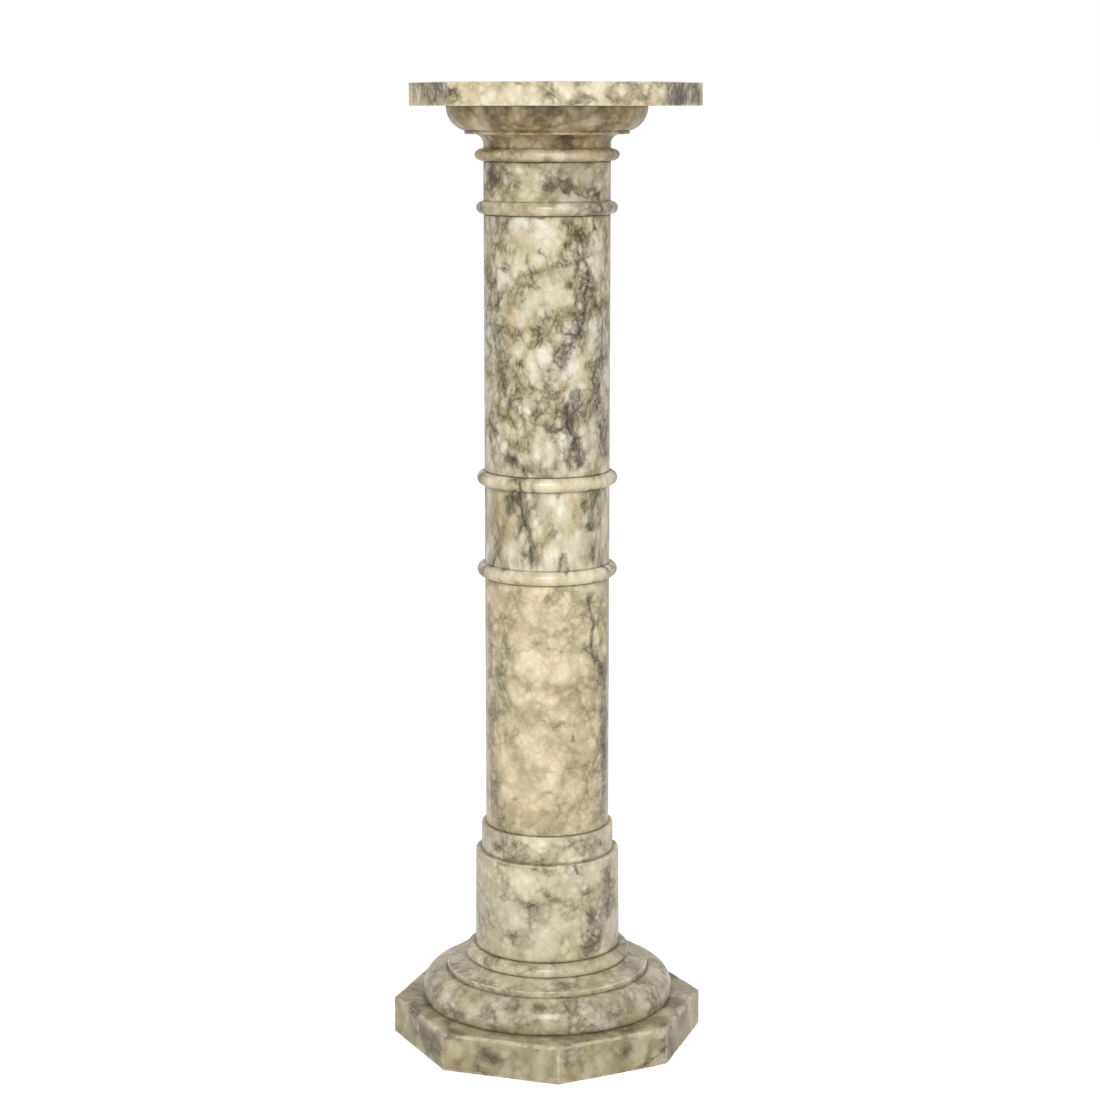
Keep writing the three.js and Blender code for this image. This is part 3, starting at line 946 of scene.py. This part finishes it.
def makeBaseMoulding(node, sizes):
    section = sizes["torus"]
    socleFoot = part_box("socle")[1].x / mm
    beadCentre = socleFoot + sizes["beadStandOff"]
    filletRadius = beadCentre + sizes["scotiaRun"]
    torusCentre = filletRadius + sizes["torusInset"]
    start = -math.degrees(math.asin(sizes["torusCentre"] / section))
    end = math.degrees(math.acos(-sizes["torusInset"] / section))
    torus = arc((torusCentre, sizes["torusCentre"]), (section, section), start, end, 32)
    filletFoot = torus[-1][1]
    filletTop = filletFoot + sizes["filletHeight"]
    beadFoot = filletTop + sizes["scotiaRise"]
    slope = []
    for step in range(sizes["scotiaSteps"]):
        t = step / sizes["scotiaSteps"]
        sink = 4 * sizes["scotiaHollow"] * t * (1 - t)
        slope.append((filletRadius - sizes["scotiaRun"] * t, filletTop + sizes["scotiaRise"] * t - sink))
    beadMiddle = beadFoot + sizes["bead"]
    upperReach = sizes["beadStandOff"] + sizes["bead"]
    bead = arc((beadCentre, beadMiddle), (sizes["bead"],) * 2, -90, 0, 10)
    bead += arc((socleFoot, beadMiddle), (upperReach, sizes["beadRise"]), 0, 90, 14)[1:]
    outline = [(0, 0)] + torus + slope + bead + [(0, beadMiddle + sizes["beadRise"])]
    creases = [torus[0], torus[-1], (beadCentre, beadFoot), (socleFoot, beadMiddle + sizes["beadRise"])]
    # the fillet's upper arris is painted pale: rubbed wear and painted highlight
    look = {"creases": creases, "rubbedHighlight": [(filletRadius, filletTop)], **sizes["look"]}
    turnStone(node, outline, look, sizes)


# Top slab: an octagon with a corner to the front, bright cream, its sides darkened by grey stone and painted
# shade
topSlab = {
    "turn": 0,
    "cornerRadius": 1.2,
    "arris": 0.8,
    "wear": 1.8,
    "wearLeast": 0.1,
    "wearSizes": (11, 3.5),
    "columns": 44,
    "rows": 5,
    "look": {
        "shift": (0, 0, 20),
        "turn": (80, 0, 0),
        "cream": "#FBF1D8",
        "tan": "#CFBF99",
        "warmth": 0.62,
        "greyShare": 0.5,
        "netShare": 0.11,
        "netSpread": 0.35,
        "frontRadius": 150,
        # the strong patches far left and right darken the side facets: grey streaks of the stone and painted
        # shade of faces turned from the light
        "patches": [
            (-128, 1040, 40, 18, 1.5), (-98, 1034, 12, 12, 0.8), (-60, 1032, 12, 8, 0.6),
            (-18, 1030, 10, 6, 0.55), (6, 1040, 10, 8, 0.7), (40, 1030, 14, 7, 0.6),
            (66, 1034, 10, 8, 0.6), (98, 1032, 10, 9, 0.7), (132, 1038, 34, 22, 2.4),
            (160, 1038, 50, 20, 1.8),
        ],
        "pales": [
            (-84, 1040, 12, 16, 0.5), (20, 1042, 10, 10, 0.4), (52, 1042, 10, 8, 0.5),
            (-40, 1042, 14, 8, 0.5),
        ],
    },
}

# Plinth: an octagon turned a little, olive and grey, with old breaks at the corner right of the front
plinth = {
    "turn": 4,
    "cornerRadius": 3.5,
    "arris": 2.9,
    "wear": 0.6,
    "wearLeast": -0.1,
    "wearSizes": (13, 4),
    "columns": 40,  # strips along a side
    "rows": 8,
    "breakCorner": 1,  # counted to the right from the corner at the front
    "nickCorner": -1,
    "flake": (17, 12, 3.4),  # along the side, up and into the stone
    "spall": (9.5, 11, 3.2),
    "pit": (3.5, 3, 3),
    "pitAlong": 40,  # from the corner
    "nick": (4.5, 2.4, 2.4),
    "roughness": 0.14,  # of the broken faces, as a share of their size
    "look": {
        "shift": (30, 60, 0),
        "turn": (0, 0, 40),
        "clot": 30,
        "cell": 13,
        "knot": 34,
        "tan": "#AC9F7F",
        "cream": "#E0D4B5",
        "grey": "#D2D2D6",
        "warmth": 0.45,
        "greyShare": 0.5,
        "netShare": 0.13,
        "netSpread": 0.65,
        "lineShare": 0.6,
        "markShare": 0.9,
        "roughness": 0.3,
        "broken": True,
        "brokenPale": "#D9CFB4",
        "brokenDark": "#A69B80",
        "brokenShare": 0.7,
        "brokenRoughness": 0.6,
        "rubbedHighlightShare": 0.5,
        "pale": "#E4D9BD",
        "veins": [([(128, 21), (122, 15), (112, 10), (103, 3)], 2.0, 0.9)],
        "stains": [
            (-96, 16, 12, 12, 0.6), (-60, 38, 14, 8, 0.5), (24, 14, 14, 14, 0.5),
            (50, 36, 18, 8, 0.5), (110, 12, 14, 10, 0.4),
        ],
        # a wide ring of painted shade with soil round the foot of the torus
        "soilAndShadeReach": 9,
        "soilAndShadeShare": 0.38,
        "creases": [(136.5, 41.8)],
        "frontRadius": 165,
        "patches": [
            (-64, 22, 14, 11, 1.0), (-78, 12, 8, 8, 0.7), (86, 22, 10, 14, 0.7),
            (18, 20, 9, 14, 0.6), (-40, 36, 12, 6, 0.5), (-140, 20, 40, 18, 0.6),
            (150, 22, 40, 18, 0.5), (60, 10, 14, 7, 0.5), (-152, 42, 15, 8, 1.1),
            (-100, 42, 15, 8, 1.0), (-52, 44, 15, 6, 0.8), (140, 40, 22, 8, 0.7),
            (20, 42, 10, 6, 0.6),
        ],
        # the pale marks at the front corner (across 12 and -8) and along the top edge (up 44) are painted
        # highlights on those arrises; the rest is paler stone
        "pales": [
            (12, 20, 7, 30, 0.8), (-8, 20, 12, 22, 0.4), (104, 26, 8, 16, 0.5),
            (-100, 24, 12, 16, 0.4), (46, 28, 14, 10, 0.3), (-128, 44, 18, 7, 1.0),
            (-76, 44, 12, 6, 0.7), (112, 44, 16, 6, 0.7), (156, 44, 14, 6, 0.7),
        ],
    },
}


eighth = math.pi / 8  # of half a turn: from the middle of an octagon's side to its corner


def outwards(angle):
    return Vector((math.cos(angle), math.sin(angle), 0))


def octagonReach(node, sizes):
    # how far out the corners would stand if they were sharp; the rounded ones fill the CAD box along x
    low, high = (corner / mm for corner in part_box(node))
    radius = sizes["cornerRadius"]
    inset = ((high.x - low.x) / 2 - radius) / math.cos(math.radians(sizes["turn"]))
    return inset + radius / math.cos(eighth)


def isUpright(edge):
    return abs(edge.verts[0].co.z - edge.verts[1].co.z) > 1


def octagonShape(node, sizes):
    low, high = (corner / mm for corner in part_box(node))
    turn = math.radians(sizes["turn"])
    reach = octagonReach(node, sizes)
    middle = Vector(((low.x + high.x) / 2, (low.y + high.y) / 2, 0))
    shape = bmesh.new()
    bmesh.ops.create_circle(
        shape,
        cap_ends=True,
        segments=8,
        radius=reach,
        matrix=Matrix.Translation(middle + Vector((0, 0, low.z))) @ Matrix.Rotation(turn, 4, "Z"),
    )
    upright = bmesh.ops.extrude_face_region(shape, geom=shape.faces[:])["geom"]
    top = [v for v in upright if isinstance(v, bmesh.types.BMVert)]
    bmesh.ops.translate(shape, verts=top, vec=(0, 0, high.z - low.z))
    bmesh.ops.recalc_face_normals(shape, faces=shape.faces)
    posts = [e for e in shape.edges if isUpright(e)]
    post = sizes["cornerRadius"] * math.tan(eighth)
    rounding = {"affect": "EDGES", "profile": 0.5, "material": -1}
    bmesh.ops.bevel(shape, geom=posts, offset=post, segments=4, **rounding)

    # strips and rows on the sides give the worn arrises their relief
    for cuts, upwards in ((sizes["columns"], False), (sizes["rows"], True)):
        chosen = [e for e in shape.edges if e.calc_length() > shortEdge and isUpright(e) == upwards]
        bmesh.ops.subdivide_edges(shape, edges=chosen, cuts=cuts, use_grid_fill=True)
    rims = sharpRims(shape, rimAngle)
    bmesh.ops.bevel(shape, geom=rims, offset=sizes["arris"], segments=3, **rounding)

    apothem = reach * math.cos(eighth)
    rimWidth = rimReach * sizes["arris"]
    for vert in shape.verts:
        flat = Vector((vert.co.x, vert.co.y, 0)) - middle
        angle = math.atan2(flat.y, flat.x) - turn
        side = turn + (math.floor(angle / (2 * eighth)) + 0.5) * 2 * eighth
        sunk = apothem - flat.dot(outwards(side))
        rim = low.z if vert.co.z < (low.z + high.z) / 2 else high.z
        below = abs(vert.co.z - rim)
        nearest = turn + round(angle / (2 * eighth)) * 2 * eighth
        corner = middle + outwards(nearest) * reach
        corner.z = vert.co.z
        if (vert.co - corner).length < postReach * post and below > 0.1:
            vert.co = openArris(vert.co, corner, sizes)
        elif sunk < rimWidth and below < rimWidth:
            corner = vert.co + outwards(side) * sunk + Vector((0, 0, rim - vert.co.z))
            vert.co = openArris(vert.co, corner, sizes)
    return shape


sideSlack = 0.03  # how far a normal may lean and turn, as a share or in radians, in a face of a side
bedLeast = 0.995  # how upright a normal is in a face of a bed


def markArrises(shape, turn):
    # the faces that lie neither in a bed nor in a side are painted paler: rubbed wear and painted highlight
    # on the arrises
    rubbedHighlight = shape.faces.layers.float.new("rubbedHighlight")
    for face in shape.faces:
        face.normal_update()
        normal = face.normal
        angle = math.atan2(normal.y, normal.x) - math.radians(turn) - eighth
        offSide = abs(math.remainder(angle, 2 * eighth))
        inSide = abs(normal.z) < sideSlack and offSide < sideSlack
        if not inSide and abs(normal.z) < bedLeast:
            face[rubbedHighlight] = 1.0


def temporaryObject(shape, name):
    mesh = bpy.data.meshes.new(name)
    shape.to_mesh(mesh)
    shape.free()
    thing = bpy.data.objects.new(name, mesh)
    bpy.context.scene.collection.objects.link(thing)
    return thing


lumpSwells = 1.7  # swells of the noise along the radius of a lump
lumpNoise = ((1, 1), (2.3, 0.6), (6, 0.3))  # how much finer, how strong


def breakAway(shape, breaks, roughness):
    # takes roughened lumps out of the stone: each break is a matrix that places a ball of radius 1
    stone = temporaryObject(shape, "whole_stone")
    lumps = []
    for index, place in enumerate(breaks):
        lump = bmesh.new()
        bmesh.ops.create_icosphere(lump, subdivisions=4, radius=1)
        for vert in lump.verts:
            here = vert.co * lumpSwells + Vector((7 * index, 0, 0))
            swell = sum(weight * noise.noise(here * finer) for finer, weight in lumpNoise)
            vert.co *= 1 + roughness * swell
        lump.transform(place)
        lumps.append(temporaryObject(lump, "lump"))
        cut = stone.modifiers.new("lump", "BOOLEAN")
        cut.operation = "DIFFERENCE"
        cut.solver = "EXACT"
        cut.object = lumps[-1]
    drawn = stone.evaluated_get(bpy.context.evaluated_depsgraph_get())
    broken = bmesh.new()
    broken.from_mesh(drawn.to_mesh())
    drawn.to_mesh_clear()
    for thing in [stone] + lumps:
        mesh = thing.data
        bpy.data.objects.remove(thing)
        bpy.data.meshes.remove(mesh)
    return broken


def markBreaks(shape, breaks, roughness):
    # the faces that the lumps left are fresh stone; markArrises has found the faces off the sides
    fresh = shape.faces.layers.float.new("fracture")
    rubbedHighlight = shape.faces.layers.float["rubbedHighlight"]
    for face in shape.faces:
        middle = face.calc_center_median()
        if face[rubbedHighlight] and any((place.inverted() @ middle).length < 1 + 2 * roughness for place in breaks):
            face[fresh] = 1.0


def makeTopSlab(node, sizes):
    shape = octagonShape(node, sizes)
    markArrises(shape, sizes["turn"])
    finishStone(node, shape, polishedMarble(node, sizes["look"]))


def makePlinth(node, sizes):
    low, high = (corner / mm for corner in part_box(node))
    reach = octagonReach(node, sizes)
    apothem = reach * math.cos(eighth)
    front = math.radians(sizes["turn"]) - math.pi / 2
    broken = front + sizes["breakCorner"] * 2 * eighth
    nicked = front + sizes["nickCorner"] * 2 * eighth
    facing = broken - eighth

    def lump(size, angle, place):
        along, up, into = size
        turned = Matrix.Translation(place) @ Matrix.Rotation(angle, 4, "Z")
        return turned @ Matrix.Diagonal((into, along, up, 1))

    def onSide(size, fromCorner, height):
        # a lump on the side to the left of the broken corner
        across = apothem * math.tan(eighth) - fromCorner
        place = outwards(facing) * apothem + outwards(facing + math.pi / 2) * across
        return lump(size, facing, place + Vector((0, 0, height)))

    breaks = [
        onSide(sizes["flake"], 0, low.z),
        onSide(sizes["spall"], sizes["spall"][0], high.z),
        onSide(sizes["pit"], sizes["pitAlong"], high.z),
        lump(sizes["nick"], nicked, outwards(nicked) * reach),
    ]
    shape = breakAway(octagonShape(node, sizes), breaks, sizes["roughness"])
    markArrises(shape, sizes["turn"])
    markBreaks(shape, breaks, sizes["roughness"])
    finishStone(node, shape, polishedMarble(node, sizes["look"]))


setStudio()
makePlinth("plinth", plinth)
makeBaseMoulding("base_moulding", baseMoulding)
makeSocle("socle", socle)
makeDrum("lower_shaft", lowerShaft)
makeMiddleBand("middle_band", middleBand)
makeDrum("upper_shaft", upperShaft)
makeNecking("necking", necking)
makeCapital("capital", capital)
makeTopSlab("top_slab", topSlab)
